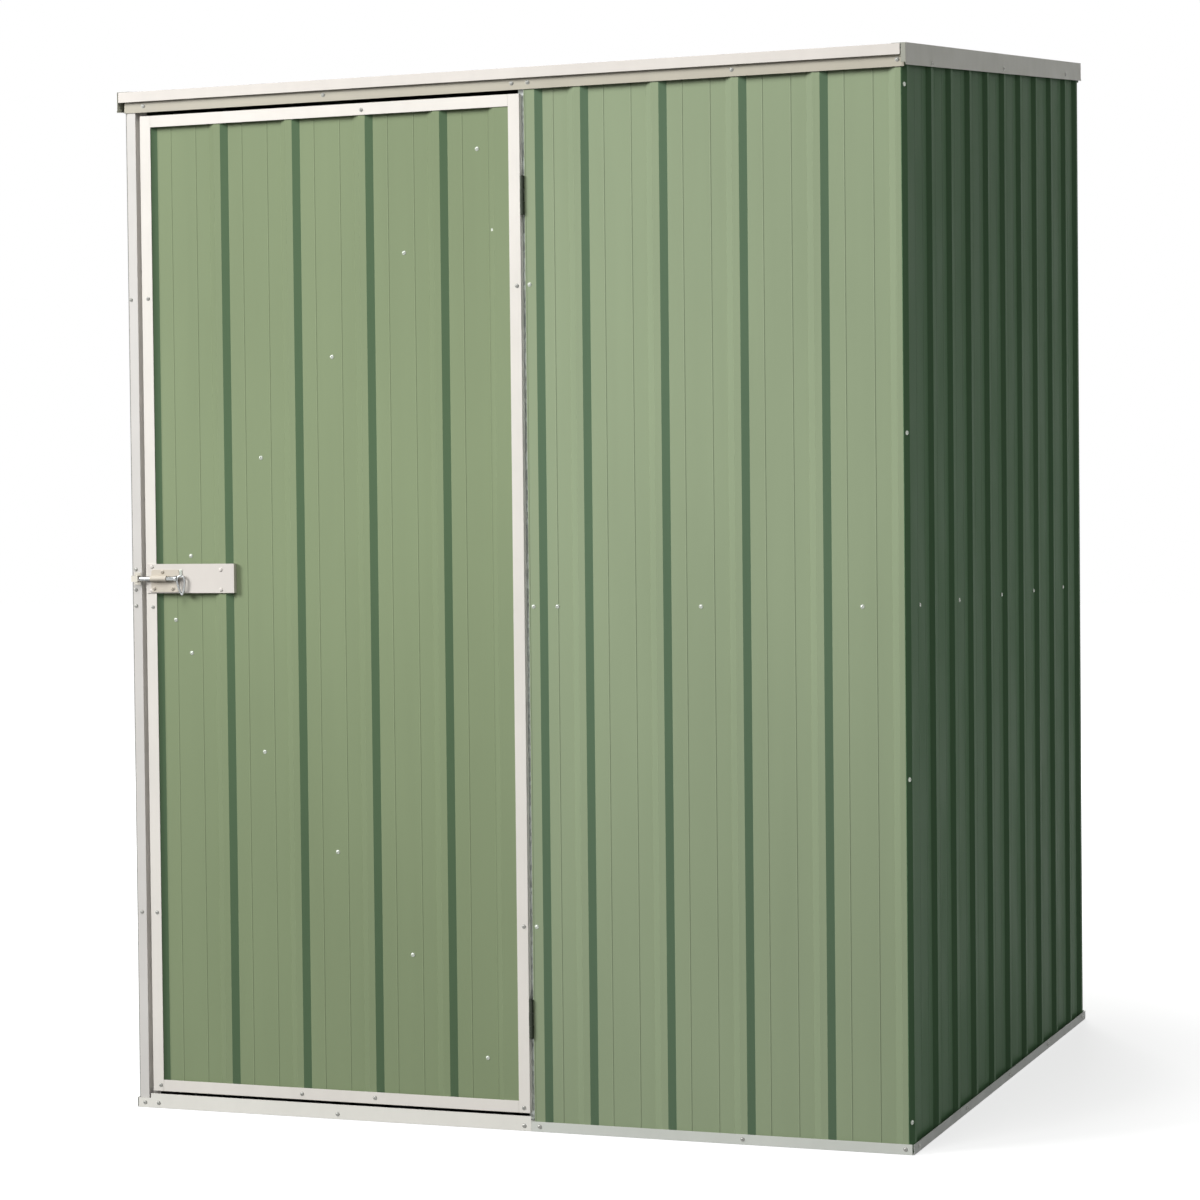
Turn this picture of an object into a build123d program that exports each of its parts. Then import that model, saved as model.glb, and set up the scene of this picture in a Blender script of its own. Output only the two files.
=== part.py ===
from build123d import *

import os
from math import atan2, degrees, sqrt

os.makedirs("parts", exist_ok=True)

# Flat-pack steel garden shed: ribbed sheet walls in folded channels, a roof that falls to the
# front between two barges, and one hinged sheet door with a pad bolt.
# The front faces -Y and +Z is up. Every wall has its own running line: s along the wall, to the
# left of someone who stands outside and faces it, and d outwards from the pans of its sheets.

# Walls and roof
wall_half = 745.0
eaves = 15.0
roof_shift = -4.0
front_height = 1910.0
back_height = 2076.0

# Sheet and its ribs
sheet = 0.8
rib_pitch = 147.0
rib_height = 7.0
rib_run = 13.0
rib_top = 13.0
rib_count = 10
lap_flange = 6.0
lap_gap = 0.1
corner_gap = 1.0
side_rib_gap = 171.5
front_rib_trim = 2.0
front_sheet_ribs = 4

# Folded channels
fold = 1.0
channel_out = 9.0
channel_in = -3.0
base_height = 18.0
sill_height = 27.0
sill_lap = 6.0
header_height = 29.5
end_gap = 3.0
seat_gap = 0.2
top_rail_height = 18.0
top_rail_width = 16.0
mid_rail_height = 948.0
mid_rail_width = 30.0
mid_rail_depth = 12.0

# Roof edge
roof_skin = 0.8
cap_face = 19.0
cap_flange = 40.0
cap_end_gap = 1.5
barge_face = 38.0
barge_flange = 26.0
barge_return = 8.0
hem = 3.5
hem_lip = 0.8
hem_gap = 1.0

# Doorway and door
post_width = 18.0
post_bevel = 4.0
post_lap = 20.0
latch_gap = 10.0
door_right = 43.5
hinge_gap = 8.0
edge_rib_width = 33.5
stop_reach = 16.0
stop_gap = 6.0
header_gap = 7.0
sill_gap = 5.5
frame_face = 21.5
frame_depth = 11.5
door_rib_start = 143.0
door_rib_count = 5
hinge_rib_width = 64.5
panel_gap = 0.5
brace_width = 24.0
brace_depth = 8.0
brace_from_latch = 91.0
brace_from_hinge = 85.0
brace_from_middle = 91.0
brace_from_top = 93.5

# Hinges
hinge_length = 70.0
hinge_from_bottom = 170.5
hinge_from_top = 181.5
hinge_stand = 1.0
knuckle_radius = 3.5
pin_radius = 1.5
pin_gap = 0.2
leaf = 1.0
leaf_depth = 8.0
knuckle_share = 0.34
running_gap = 0.3

# Lock plate and pad bolt
bolt_height = 998.7
lock_inset = 3.0
lock_length = 181.0
lock_width = 54.6
lock_thickness = 1.5
bolt_plate_inset = 12.0
bolt_plate_length = 58.0
bolt_plate_width = 42.0
bolt_plate_drop = 4.5
bolt_plate_corner = 4.0
bolt_plate_thickness = 1.2
rod_radius = 4.0
barrel_wall = 1.2
barrel_length = 34.0
barrel_inset = 1.0
barrel_lift = 0.5
barrel_foot_gap = 0.1
keeper_inset = 3.0
keeper_length = 13.0
keeper_height = 23.0
keeper_clearance = 0.8
tip_gap = 1.0
ring_offset = 6.0
ring_lean = 2.5
ring_sink = 3.0
ring_radius = 10.0
ring_toe_radius = 5.0
ring_drop = 24.0
ring_wire = 3.5

# Places that follow from the sizes above
plate_front = channel_out + lock_thickness
pad_front = plate_front + bolt_plate_thickness
rod_d = pad_front + rod_radius + barrel_lift
keeper_front = rod_d + rod_radius + keeper_clearance + fold
roof_half = wall_half + eaves
x_mid = -roof_shift
y_mid = (wall_half + keeper_front - roof_half) / 2
rib_width = 2 * rib_run + rib_top
fall = (back_height - front_height) / (2 * roof_half)
up_roof = (0, 1 / sqrt(1 + fall**2), fall / sqrt(1 + fall**2))
run_up_roof = sqrt(1 + fall**2)
outer = wall_half + channel_out
corner = wall_half + rib_height
lap_inset = sheet + lap_gap
deck_drop = 2 * roof_skin + rib_height + sheet + lap_inset + seat_gap
outward = {"front": (0, -1, 0), "right": (1, 0, 0), "back": (0, 1, 0), "left": (-1, 0, 0)}


def roof_top(v):
    """Height of the roof's highest skin at a distance v behind the middle."""
    return front_height + fall * (v + roof_half)


def deck(v):
    """Height of the underside of the roof sheets' pans."""
    return roof_top(v) - deck_drop


header_top = deck(-outer) - seat_gap
back_header_top = deck(wall_half + channel_in) - seat_gap
post_side = corner - sheet - lap_gap
post_left = post_bevel - post_side
post_right = post_left + post_width
door_left = post_right + latch_gap
wall_edge = door_right + hinge_gap
door_bottom = sill_height + sill_gap
door_top = header_top - header_height - header_gap
door_middle = (door_top + door_bottom) / 2


def wall_plan(wall, height, inset=0.0):
    """Level plane with x along the wall and y outwards, from the pans of its sheets."""
    out = Vector(*outward[wall])
    centre = Vector(x_mid, y_mid, height) + out * (wall_half - inset)
    return Plane(centre, x_dir=out.cross(Vector(0, 0, 1)), z_dir=(0, 0, 1))


def wall_section(wall, s):
    """Upright plane across the wall at s, with x outwards and y up."""
    out = Vector(*outward[wall])
    run = out.cross(Vector(0, 0, 1))
    centre = Vector(x_mid, y_mid, 0) + out * wall_half + run * s
    return Plane(centre, x_dir=out, z_dir=run)


def front_view(d):
    """Upright plane in front of the front pans, seen from outside, with x to the right."""
    return Plane((x_mid, y_mid - wall_half - d, 0), x_dir=(1, 0, 0), z_dir=(0, -1, 0))


def roof_section(v):
    """Upright plane across the roof, centred on the roof and not on the walls."""
    return Plane((0, y_mid + v, 0), x_dir=(1, 0, 0), z_dir=(0, -1, 0))


def folded(points, thickness=fold):
    """Section of a strip folded along the points, with its thickness to the right of them."""
    runs = [(Vector(*end) - Vector(*start)).normalized() for start, end in zip(points, points[1:])]
    inside = []
    for point, before, after in zip(points, [runs[0], *runs], [*runs, runs[-1]]):
        both = before + after
        miter = Vector(both.Y, -both.X) / (1 + before.dot(after))
        inside.append(Vector(*point) + miter * thickness)
    Polygon(*points, *reversed(inside), align=None)


def ribs(first, count):
    """Start and end of each of a row of ribs at the sheet's pitch."""
    return [(first + rib_pitch * n, first + rib_pitch * n + rib_width) for n in range(count)]


def mirrored(rows):
    """The same ribs for a wall that runs the other way."""
    return [(-end, -start) for start, end in rows]


def rib_rise(x, rows):
    """Height of a ribbed sheet's face above its pans at x."""
    steepest = max(min(x - start, end - x) for start, end in rows)
    return rib_height * min(1, max(0, steepest / rib_run))


def ribbed(first, last, rows):
    """Section of a ribbed sheet between two edges."""
    breaks = {x for start, end in rows for x in (start, start + rib_run, end - rib_run, end)}
    places = sorted({first, last} | {x for x in breaks if first < x < last})
    face = [(x, rib_rise(x, rows)) for x in places]
    back = [(x, y - sheet) for x, y in reversed(face)]
    Polygon(*face, *back, align=None)


# Base channels: the side ones run from end to end, the front and back ones fit between them
base_profile = [
    (channel_in, base_height),
    (channel_in, 0),
    (channel_out, 0),
    (channel_out, base_height),
]
body_end = wall_half + channel_in - seat_gap
notch_depth = 4 * fold

for wall in ("right", "left"):
    with BuildPart() as base_channel:
        side_end = outer - fold - seat_gap
        with BuildSketch(wall_section(wall, -side_end)):
            folded(base_profile[::-1])
        extrude(amount=2 * side_end)
        for end in (-1, 1):
            with BuildSketch(wall_plan(wall, fold)):
                with Locations((end * outer, channel_in)):
                    Rectangle(2 * (outer - body_end), notch_depth)
            extrude(amount=base_height, mode=Mode.SUBTRACT)
    base_channel.part.label = f"base_channel_{wall}"
    export_step(base_channel.part, f"parts/base_channel_{wall}.step")


def cross_channel(name, wall, start, stop, legs):
    """Channel between the side ones, with each of its outer legs as (start, stop, height)."""
    with BuildPart() as channel:
        with BuildSketch(wall_section(wall, start)):
            folded(base_profile[::-1])
        extrude(amount=stop - start)
        for leg_start, leg_stop, height in legs:
            with BuildSketch(wall_section(wall, leg_start)):
                with Locations((channel_out, 0)):
                    Rectangle(fold, height, align=(Align.MAX, Align.MIN))
            extrude(amount=leg_stop - leg_start)
    channel.part.label = name
    export_step(channel.part, f"parts/{name}.step")


leg_end = outer - end_gap
low_leg = (-leg_end, leg_end, base_height)
cross_channel("base_channel_back", "back", -body_end, body_end, [low_leg])
sill_start = -door_right - 2 * fold
sill_step = -door_left + sill_lap
low_leg = (-leg_end, sill_start - seat_gap, base_height)
cross_channel("base_channel_front", "front", -body_end, sill_start - seat_gap, [low_leg])
sill_legs = [(sill_start, sill_step, sill_height), (sill_step, leg_end, base_height)]
cross_channel("door_sill", "front", sill_start, body_end, sill_legs)

# Front wall sheet: full ribs from the near corner, and one more beside the door
front_ribs = ribs(-wall_half - rib_run - front_rib_trim, rib_count // 2)
edge_rib = (-wall_edge - edge_rib_width, rib_run - wall_edge)

with BuildPart() as front_wall:
    with BuildSketch(wall_plan("front", fold)):
        ribbed(-wall_half + corner_gap, -wall_edge, [*front_ribs, edge_rib])
    extrude(amount=header_top - 2 * fold)
front_wall.part.label = "front_wall"
export_step(front_wall.part, "parts/front_wall.step")

# Side wall sheets: raked to the roof, lapped on one rib
last_rib = corner - rib_width - side_rib_gap
side_ribs = ribs(last_rib - rib_pitch * (rib_count - 2), rib_count - 1)
lap_start, lap_end = side_ribs[-front_sheet_ribs]
side_ribs = [(-corner, rib_width - corner), *side_ribs, (corner - rib_width, corner)]


def side_sheet(name, wall, first, last, inset):
    """Side sheet from first to last, counted from the back corner to the front one."""
    rows = side_ribs
    if wall == "left":
        first, last = -last, -first
        rows = mirrored(side_ribs)
    with BuildPart() as sheet_piece:
        with BuildSketch(wall_plan(wall, fold, inset)):
            ribbed(first, last, rows)
        extrude(amount=back_height)
        rake = Plane((0, y_mid, deck(0) - seat_gap), x_dir=(1, 0, 0), z_dir=(0, -fall, 1))
        split(bisect_by=rake, keep=Keep.BOTTOM)
    sheet_piece.part.label = name
    export_step(sheet_piece.part, f"parts/{name}.step")


side_sheet("right_wall_front", "right", lap_start - lap_flange, corner, 0)
side_sheet("right_wall_back", "right", -corner, lap_end + lap_flange, lap_inset)
side_sheet("left_wall_front", "left", lap_start - lap_flange, corner - rib_run, 0)
side_sheet("left_wall_back", "left", -corner, lap_end + lap_flange, lap_inset)

# Back wall sheets
back_edge = wall_half - corner_gap - lap_inset
back_ribs = ribs(-wall_half - rib_run, rib_count + 1)
back_lap_start, back_lap_end = back_ribs[rib_count // 2]

for name, first, last, inset in (
    ("back_wall_right", back_lap_start - lap_flange, back_edge, 0),
    ("back_wall_left", -back_edge, back_lap_end + lap_flange, lap_inset),
):
    with BuildPart() as back_wall:
        with BuildSketch(wall_plan("back", fold, inset)):
            ribbed(first, last, back_ribs)
        extrude(amount=back_header_top - 2 * fold)
    back_wall.part.label = name
    export_step(back_wall.part, f"parts/{name}.step")

# Wall heads: front and back headers, and raked rails inside the side sheets
for wall, name, top in (("front", "header", header_top), ("back", "back_header", back_header_top)):
    bottom = top - header_height
    with BuildPart() as header:
        with BuildSketch(wall_section(wall, -body_end)):
            folded(
                [
                    (channel_in, top - base_height),
                    (channel_in, top),
                    (channel_out, top),
                    (channel_out, bottom),
                ]
            )
        extrude(amount=2 * body_end)
        with BuildSketch(wall_section(wall, -leg_end)):
            with Locations((channel_out, bottom)):
                Rectangle(fold, header_height, align=(Align.MAX, Align.MIN))
        extrude(amount=2 * leg_end)
    header.part.label = name
    export_step(header.part, f"parts/{name}.step")

rail_end = body_end - fold
rail_line = lap_inset + sheet + lap_gap
for side, name in ((1, "top_rail_right"), (-1, "top_rail_left")):
    edge = wall_half - rail_line
    low, high = sorted((side * (edge - top_rail_width), side * edge))
    top = deck(-rail_end)
    with BuildPart() as top_rail:
        with BuildSketch(Plane((x_mid, y_mid - rail_end, 0), x_dir=(1, 0, 0), z_dir=(0, -1, 0))):
            folded(
                [
                    (low, top - top_rail_height),
                    (low, top),
                    (high, top),
                    (high, top - top_rail_height),
                ]
            )
        extrude(amount=2 * rail_end * run_up_roof, dir=up_roof)
    top_rail.part.label = name
    export_step(top_rail.part, f"parts/{name}.step")

# Rails inside, at mid height, that the sheets are screwed to
side_end = wall_half - mid_rail_depth - rail_line + seat_gap
cross_end = wall_half - mid_rail_depth - rail_line - fold
post_back = -wall_edge - stop_reach - fold
for wall, name, start, stop, line in (
    ("front", "mid_rail_front", -cross_end, post_back, sheet + lap_gap),
    ("right", "mid_rail_right", -side_end, side_end, rail_line),
    ("back", "mid_rail_back", -cross_end, cross_end, rail_line),
    ("left", "mid_rail_left", -side_end, side_end, rail_line),
):
    with BuildPart() as mid_rail:
        with BuildSketch(wall_section(wall, start)):
            half_rail = mid_rail_width / 2
            folded(
                [
                    (-line - mid_rail_depth, mid_rail_height + half_rail),
                    (-line, mid_rail_height + half_rail),
                    (-line, mid_rail_height - half_rail),
                    (-line - mid_rail_depth, mid_rail_height - half_rail),
                ]
            )
        extrude(amount=stop - start)
    mid_rail.part.label = name
    export_step(mid_rail.part, f"parts/{name}.step")

# Roof sheets
roof_end = roof_half - 3 * roof_skin
roof_edge = roof_half - hem_lip - 2 * roof_skin
roof_ribs = ribs(-rib_pitch * rib_count / 2 - rib_width / 2, rib_count + 1)
roof_lap_start, roof_lap_end = roof_ribs[rib_count // 2]

for name, first, last, lift in (
    ("roof_sheet_right", roof_lap_start - lap_flange, roof_edge, lap_inset),
    ("roof_sheet_left", -roof_edge, roof_lap_end + lap_flange, 0),
):
    with BuildPart() as roof_sheet:
        level = deck(-roof_end) + sheet + lift
        with BuildSketch(Plane((0, y_mid - roof_end, level), x_dir=(1, 0, 0), z_dir=(0, -1, 0))):
            ribbed(first, last, roof_ribs)
        extrude(amount=2 * roof_end * run_up_roof, dir=up_roof)
    roof_sheet.part.label = name
    export_step(roof_sheet.part, f"parts/{name}.step")

# Cappings over the front and back edges of the roof
web_inside = roof_half - hem_lip - roof_skin
cap_left = cap_end_gap - web_inside
cap_right = web_inside - barge_return - cap_end_gap
for name, way in (("front_capping", -1), ("back_capping", 1)):
    edge = way * roof_half
    tail = edge - way * cap_flange
    points = [
        (y_mid + tail, roof_top(tail) - roof_skin),
        (y_mid + edge, roof_top(edge) - roof_skin),
        (y_mid + edge, roof_top(edge) - roof_skin - cap_face),
    ]
    with BuildPart() as capping:
        with BuildSketch(Plane((cap_left, 0, 0), x_dir=(0, 1, 0), z_dir=(1, 0, 0))):
            folded(points if way > 0 else points[::-1], roof_skin)
        extrude(amount=cap_right - cap_left)
    capping.part.label = name
    export_step(capping.part, f"parts/{name}.step")

# Barges down both sides of the roof, with a hem along the lower edge. The right one is turned
# in at its ends, and the left one along its foot, to close off the eaves.
for side, name in ((1, "right_barge"), (-1, "left_barge")):
    top = roof_top(-roof_half)
    face = roof_half - hem_lip
    low = top - barge_face
    points = [(roof_half - barge_flange, top), (face, top), (face, low + hem), (roof_half, low + hem)]
    points = [*points, (roof_half, low)]
    if side < 0:
        points = [*points, (corner - x_mid + hem_gap, low)]
    with BuildPart() as barge:
        with BuildSketch(roof_section(-roof_half)):
            folded([(side * x, z) for x, z in (points if side > 0 else points[::-1])], roof_skin)
        extrude(amount=2 * roof_half * run_up_roof, dir=up_roof)
        if side > 0:
            for end, turn in ((-roof_half, 1), (roof_half, -1)):
                drop = barge_face - roof_skin / 2 - hem - hem_gap
                with BuildSketch(roof_section(end)):
                    with Locations((face - roof_skin / 2, roof_top(end) - roof_skin / 2)):
                        reach = barge_return + roof_skin / 2
                        Rectangle(reach, drop, align=(Align.MAX, Align.MAX))
                extrude(amount=-turn * roof_skin)
    barge.part.label = name
    export_step(barge.part, f"parts/{name}.step")

# Posts on both sides of the doorway, each with a stop behind the door
post_bottom = base_height
post_top = header_top - base_height
post_face = channel_out - fold - seat_gap
stop_line = channel_out - frame_depth - stop_gap

with BuildPart() as latch_post:
    with BuildSketch(wall_plan("front", post_bottom)):
        folded(
            [
                (-post_right - stop_reach, stop_line),
                (-post_right, stop_line),
                (-post_right, post_face),
                (-post_left, post_face),
                (post_side, post_face - post_bevel),
                (post_side, post_face - post_bevel - post_lap),
            ]
        )
    extrude(amount=post_top - post_bottom)
latch_post.part.label = "latch_post"
export_step(latch_post.part, "parts/latch_post.step")

with BuildPart() as hinge_post:
    with BuildSketch(wall_plan("front", post_bottom)):
        flange_line = rib_height - sheet - lap_gap
        folded(
            [
                (-wall_edge - stop_reach, flange_line),
                (-wall_edge, flange_line),
                (-wall_edge, stop_line),
                (-wall_edge + stop_reach, stop_line),
            ]
        )
    extrude(amount=post_top - post_bottom)
hinge_post.part.label = "hinge_post"
export_step(hinge_post.part, "parts/hinge_post.step")

# Door frame: folded channels round the edge of the panel, with the uprights past the rails
frame_back = channel_out - frame_depth


def frame_section(edge, inner):
    """Channel section that opens from the outer edge of the door towards its middle."""
    return [(inner, channel_out), (edge, channel_out), (edge, frame_back), (inner, frame_back)]


for name, edge, inner in (
    ("door_stile_latch", -door_left, -door_left - frame_face),
    ("door_stile_hinge", -door_right, -door_right + frame_face),
):
    points = frame_section(edge, inner)
    with BuildPart() as stile:
        with BuildSketch(wall_plan("front", door_bottom)):
            folded(points if edge > 0 else points[::-1])
        extrude(amount=door_top - door_bottom)
    stile.part.label = name
    export_step(stile.part, f"parts/{name}.step")

rail_left = -door_left - frame_face - seat_gap
rail_right = -door_right + frame_face + seat_gap
for name, edge, inner in (
    ("door_rail_top", door_top, door_top - frame_face),
    ("door_rail_bottom", door_bottom, door_bottom + frame_face),
):
    points = [(x, z) for z, x in frame_section(edge, inner)]
    with BuildPart() as rail:
        with BuildSketch(wall_section("front", rail_right)):
            folded(points[::-1] if edge == door_top else points)
        extrude(amount=rail_left - rail_right)
    rail.part.label = name
    export_step(rail.part, f"parts/{name}.step")

# Door panel
hinge_rib = (-door_right - rib_run, hinge_rib_width - door_right)
panel_ribs = [hinge_rib, *ribs(door_rib_start - door_right, door_rib_count)]
with BuildPart() as door_panel:
    with BuildSketch(wall_plan("front", door_bottom + fold, -panel_gap)):
        ribbed(-door_right + fold + seat_gap, -door_left - fold - seat_gap, panel_ribs)
    extrude(amount=door_top - door_bottom - 2 * fold - seat_gap)
door_panel.part.label = "door_panel"
export_step(door_panel.part, "parts/door_panel.step")

# Diagonal braces behind the panel, from the latch side's middle to the hinge side's corners
brace_back = panel_gap - sheet - lap_gap
brace_left = door_left + brace_from_latch
brace_right = door_right - brace_from_hinge
brace_low = door_middle + brace_from_middle
brace_high = door_top - brace_from_top
brace_angle = degrees(atan2(brace_high - brace_low, brace_right - brace_left))
brace_length = 2 * (door_top - door_bottom)
brace_inner_left = door_left + frame_face + seat_gap
brace_inner_right = door_right - frame_face - seat_gap
brace_clear_top = door_top - frame_face - seat_gap
brace_clear_bottom = door_bottom + frame_face + seat_gap

for name, way, low, high in (
    ("door_brace_upper", 1, door_middle + seat_gap, brace_clear_top),
    ("door_brace_lower", -1, brace_clear_bottom, door_middle - seat_gap),
):
    centre_x = (brace_left + brace_right) / 2
    centre_z = door_middle + way * ((brace_low + brace_high) / 2 - door_middle)
    with BuildPart() as brace:
        for width, depth, start in (
            (brace_width, brace_depth, 0),
            (brace_width - 2 * fold, brace_depth - fold, fold),
        ):
            with BuildSketch(front_view(brace_back - start)):
                with Locations((centre_x, centre_z)):
                    Rectangle(brace_length, width, rotation=way * brace_angle)
                with Locations(((brace_inner_left + brace_inner_right) / 2, (low + high) / 2)):
                    Rectangle(brace_inner_right - brace_inner_left, high - low, mode=Mode.INTERSECT)
            extrude(amount=-depth, mode=Mode.SUBTRACT if start else Mode.ADD)
    brace.part.label = name
    export_step(brace.part, f"parts/{name}.step")

# Butt hinges in the gap beside the door
hinge_x = (door_right + wall_edge) / 2
hinge_d = channel_out + hinge_stand
middle_length = hinge_length * knuckle_share
end_length = (hinge_length - middle_length) / 2 - running_gap
leaf_front = hinge_d - knuckle_radius - running_gap

for place, height in (("lower", door_bottom + hinge_from_bottom), ("upper", door_top - hinge_from_top)):
    bottom = height - hinge_length / 2
    with BuildPart() as fixed:
        with BuildSketch(wall_plan("front", bottom)):
            with Locations((-wall_edge, leaf_front)):
                Rectangle(leaf, leaf_depth, align=(Align.MIN, Align.MAX))
        extrude(amount=hinge_length)
        for start in (bottom, bottom + hinge_length - end_length):
            with BuildSketch(wall_plan("front", start)):
                with Locations((-hinge_x, hinge_d)):
                    Circle(knuckle_radius)
                with Locations((-wall_edge, hinge_d)):
                    Rectangle(leaf, 2 * knuckle_radius, align=(Align.MIN, Align.MAX))
            extrude(amount=end_length)
        with BuildSketch(wall_plan("front", bottom)):
            with Locations((-hinge_x, hinge_d)):
                Circle(pin_radius)
        extrude(amount=hinge_length)
    fixed.part.label = f"hinge_{place}_fixed"
    export_step(fixed.part, f"parts/hinge_{place}_fixed.step")
    with BuildPart() as swing:
        with BuildSketch(wall_plan("front", bottom)):
            with Locations((-door_right, leaf_front)):
                Rectangle(leaf, leaf_depth, align=(Align.MAX, Align.MAX))
        extrude(amount=hinge_length)
        with BuildSketch(wall_plan("front", height - middle_length / 2)):
            with Locations((-hinge_x, hinge_d)):
                Circle(knuckle_radius)
            with Locations((-door_right, hinge_d)):
                Rectangle(leaf, 2 * knuckle_radius, align=(Align.MAX, Align.MAX))
            with Locations((-hinge_x, hinge_d)):
                Circle(pin_radius + pin_gap, mode=Mode.SUBTRACT)
        extrude(amount=middle_length)
    swing.part.label = f"hinge_{place}_leaf"
    export_step(swing.part, f"parts/hinge_{place}_leaf.step")

# Lock plate across the latch stile, with its far end turned back to the panel
lock_start = -door_left - lock_inset
with BuildPart() as lock_plate:
    with BuildSketch(wall_plan("front", bolt_height - lock_width / 2)):
        folded(
            [
                (lock_start - lock_length, panel_gap + lap_gap),
                (lock_start - lock_length, plate_front),
                (lock_start, plate_front),
            ],
            lock_thickness,
        )
    extrude(amount=lock_width)
lock_plate.part.label = "lock_plate"
export_step(lock_plate.part, "parts/lock_plate.step")

# Pad bolt: base plate with its barrel, sliding rod with a pull ring, keeper on the post
bolt_plate_left = door_left + bolt_plate_inset
pad_middle = bolt_plate_left + bolt_plate_length / 2
keeper_right = post_left + keeper_inset + keeper_length
rod_tip = keeper_right + tip_gap
ring_centre = bolt_plate_left + bolt_plate_length + ring_offset
ring_height = bolt_height - ring_sink


def rod_plane(x):
    """Plane across the bolt's rod at x, with its centre on the rod."""
    return Plane((x_mid + x, y_mid - wall_half - rod_d, bolt_height), x_dir=(0, 1, 0), z_dir=(1, 0, 0))


with BuildPart() as bolt_plate:
    with BuildSketch(front_view(plate_front)):
        with Locations((pad_middle, bolt_height - bolt_plate_drop)):
            RectangleRounded(bolt_plate_length, bolt_plate_width, bolt_plate_corner)
    extrude(amount=bolt_plate_thickness)
    with BuildSketch(rod_plane(bolt_plate_left + barrel_inset)):
        Circle(rod_radius + running_gap + barrel_wall)
        with Locations((0, 0)):
            foot = rod_d - plate_front - barrel_foot_gap
            Rectangle(foot, 2 * rod_radius, align=(Align.MIN, Align.CENTER))
        Circle(rod_radius + running_gap, mode=Mode.SUBTRACT)
    extrude(amount=barrel_length)
bolt_plate.part.label = "bolt_plate"
export_step(bolt_plate.part, "parts/bolt_plate.step")

with BuildPart() as bolt_rod:
    with BuildSketch(rod_plane(rod_tip)):
        Circle(rod_radius)
    extrude(amount=ring_centre - ring_radius + ring_wire - rod_tip)
    with BuildSketch(front_view(rod_d - ring_wire / 2)):
        with BuildLine():
            CenterArc((ring_centre, ring_height), ring_radius, 0, 360)
            CenterArc((ring_centre + ring_lean, ring_height - ring_drop), ring_toe_radius, 0, 360)
        make_hull()
        offset(amount=-ring_wire, mode=Mode.SUBTRACT)
    extrude(amount=ring_wire)
bolt_rod.part.label = "bolt_rod"
export_step(bolt_rod.part, "parts/bolt_rod.step")

loop = rod_radius + keeper_clearance
with BuildPart() as keeper:
    with BuildSketch(wall_section("front", -keeper_right)):
        folded(
            [
                (post_face, bolt_height - keeper_height / 2),
                (post_face, bolt_height - loop),
                (keeper_front - fold, bolt_height - loop),
                (keeper_front - fold, bolt_height + loop),
                (post_face, bolt_height + loop),
                (post_face, bolt_height + keeper_height / 2),
            ]
        )
    extrude(amount=keeper_length)
keeper.part.label = "bolt_keeper"
export_step(keeper.part, "parts/bolt_keeper.step")
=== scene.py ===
import math

import bpy
from mathutils import Matrix, Vector


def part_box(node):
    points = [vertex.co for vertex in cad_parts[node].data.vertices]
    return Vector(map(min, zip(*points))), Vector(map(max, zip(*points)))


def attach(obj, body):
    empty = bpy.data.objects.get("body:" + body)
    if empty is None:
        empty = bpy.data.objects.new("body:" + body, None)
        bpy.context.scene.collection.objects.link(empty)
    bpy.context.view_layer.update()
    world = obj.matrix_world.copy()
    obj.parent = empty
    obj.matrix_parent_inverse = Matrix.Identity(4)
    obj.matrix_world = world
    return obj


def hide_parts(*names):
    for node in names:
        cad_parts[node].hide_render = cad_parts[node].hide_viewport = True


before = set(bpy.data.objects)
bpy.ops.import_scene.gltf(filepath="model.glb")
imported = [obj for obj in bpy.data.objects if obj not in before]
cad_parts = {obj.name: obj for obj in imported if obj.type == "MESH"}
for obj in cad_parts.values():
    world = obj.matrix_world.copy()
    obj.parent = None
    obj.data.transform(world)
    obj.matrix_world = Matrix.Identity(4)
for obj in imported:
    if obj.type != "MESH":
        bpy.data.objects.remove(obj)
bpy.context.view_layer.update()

# Ribbed wall sheets
# Colour-coated steel, 0.3 mm thick, rolled into deep ribs with two fine swages in every pan.
# The paint is a satin sage green with a faint orange peel, and the thin pans are never quite flat.
# Their colour carries painted shade on the rib flanks and along the swages, and painted light half way
# up.
RIB_PITCH = 0.147
PAN_SWAGES = (0.0285, 0.080)
SWAGE_WIDTH = 0.0015
# Painted light half way up the sheets: its height, reach and lift.
PALE_HEIGHT = 1.10
PALE_REACH = 0.80
PALE_LIFT = 1.10
CREASE_SHADE = 0.24
# Painted shade, as a deeper colour, on the rib flanks that lean one way.
FLANK_SHADE = (0.57, 0.735, 0.71)
LEFT_SHADE = 0.15
SHEET_ROUGHNESS = 0.45
SHEET_SPECULAR = 0.08
SHEET_GREEN = (0.275, 0.335, 0.210)
# The right side's green is painted shade: a darker copy of the sheet green.
RIGHT_SHADED_GREEN = (0.135, 0.252, 0.130)
# Painted shade on the right side's rib flanks that lean one way.
RIGHT_FLANK_SHADE = (0.85, 0.95, 0.95)
RIGHT_SPECULAR = 0.02
PLAN_MIDDLE = (0.004, 0.0035)
FRONT_RIBS_FROM = 0.172
BACK_RIBS_FROM = 0.016
SIDE_RIBS_FROM = -0.5415


def new_material(name, colour, roughness, metallic=0.0, specular=0.3):
    material = bpy.data.materials.new(name)
    material.use_nodes = True
    shader = material.node_tree.nodes["Principled BSDF"]
    shader.inputs["Base Color"].default_value = (*colour, 1)
    shader.inputs["Roughness"].default_value = roughness
    shader.inputs["Metallic"].default_value = metallic
    shader.inputs["Specular IOR Level"].default_value = specular
    return material, material.node_tree, shader


def wire(tree, source, target):
    tree.links.new(source, target)


def calculated(tree, operation, first, second=None, third=None):
    step = tree.nodes.new("ShaderNodeMath")
    step.operation = operation
    for socket, value in zip(step.inputs, (first, second, third)):
        if value is None:
            continue
        if isinstance(value, (int, float)):
            socket.default_value = value
        else:
            wire(tree, value, socket)
    return step.outputs[0]


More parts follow.
